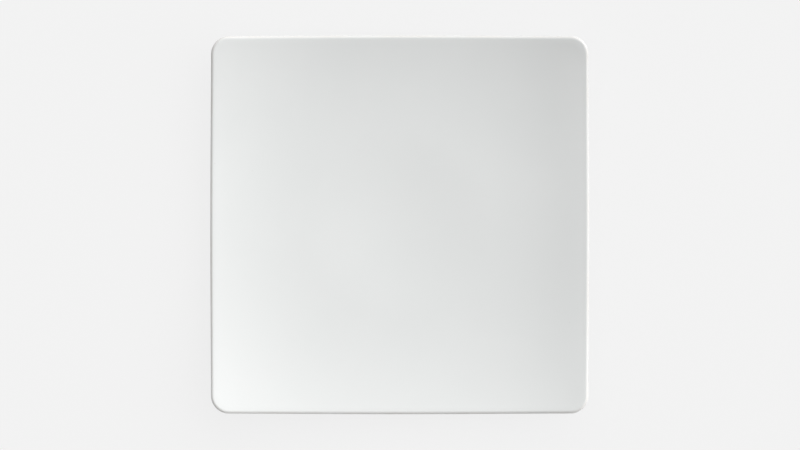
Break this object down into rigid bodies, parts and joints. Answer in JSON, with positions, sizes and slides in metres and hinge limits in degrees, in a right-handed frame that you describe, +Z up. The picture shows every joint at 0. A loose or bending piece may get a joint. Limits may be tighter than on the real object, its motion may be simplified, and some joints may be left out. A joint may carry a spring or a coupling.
{
  "type": "square dinner plate",
  "caption": "Square white porcelain dinner plate with a softly dished face, a thin round lip, lifted rounded corners and a bare foot ring underneath, for serving food.",
  "frame": {"origin": "on the table, under the middle of the plate", "axes": "+Z up out of the dish, X and Y square to the sides"},
  "size_m": [0.27, 0.27, 0.0286],
  "materials": {
    "porcelain": "bare fired porcelain, ground matte on the foot",
    "glaze": "clear gloss glaze over white porcelain"
  },
  "bodies": {
    "root": {"porcelain_body": "porcelain", "outer_glaze": "glaze", "base_glaze": "glaze"}
  },
  "joints": []
}
